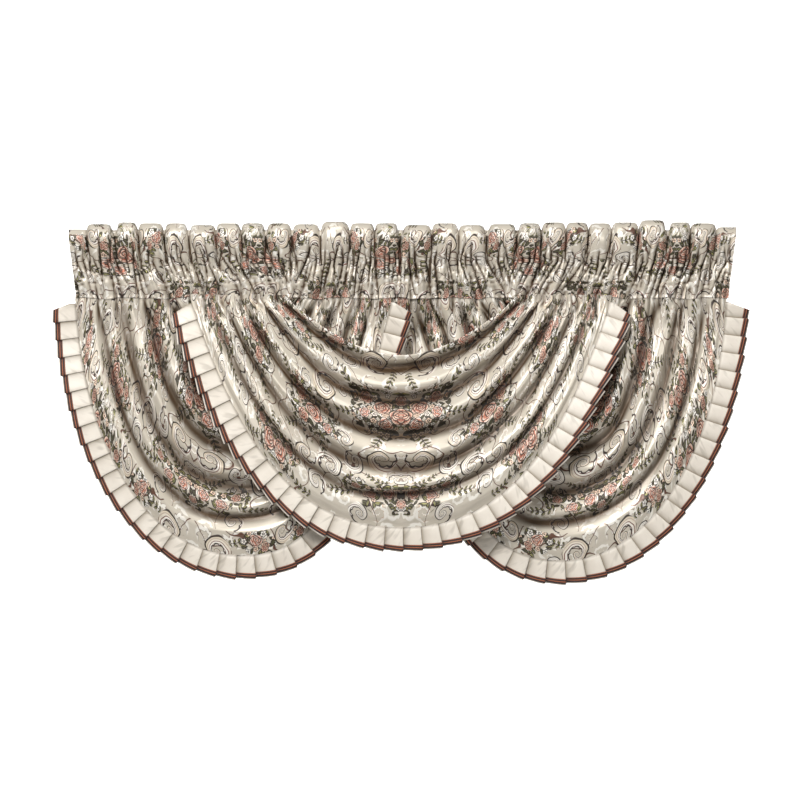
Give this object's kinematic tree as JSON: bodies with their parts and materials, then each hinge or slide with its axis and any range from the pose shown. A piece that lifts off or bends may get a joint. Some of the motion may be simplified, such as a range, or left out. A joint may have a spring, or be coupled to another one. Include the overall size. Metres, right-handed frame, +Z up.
{
  "type": "swag valance with a gathered rod-pocket heading",
  "caption": "Window valance of overlapping draped swags under a gathered rod-pocket heading, edged with knife-pleated frills and braid.",
  "frame": {"origin": "middle of the heading's top edge, in the plane of the rod pocket", "axes": "+Z up, +X to the viewer's right along the rod, -Y towards the room"},
  "size_m": [1.603, 0.1213, 0.8359],
  "materials": {
    "figured_cloth": "champagne satin woven with roses, leaves and scrolls, soft sheen",
    "frill_satin": "plain ivory satin, soft sheen",
    "striped_braid": "matt dark brown braid with rust lines"
  },
  "bodies": {
    "root": {"heading": "figured_cloth", "swag_left": "figured_cloth", "swag_centre": "figured_cloth", "swag_right": "figured_cloth", "frill_left": "frill_satin", "frill_centre": "frill_satin", "frill_right": "frill_satin", "braid_left": "striped_braid", "braid_centre": "striped_braid", "braid_right": "striped_braid"}
  },
  "joints": []
}
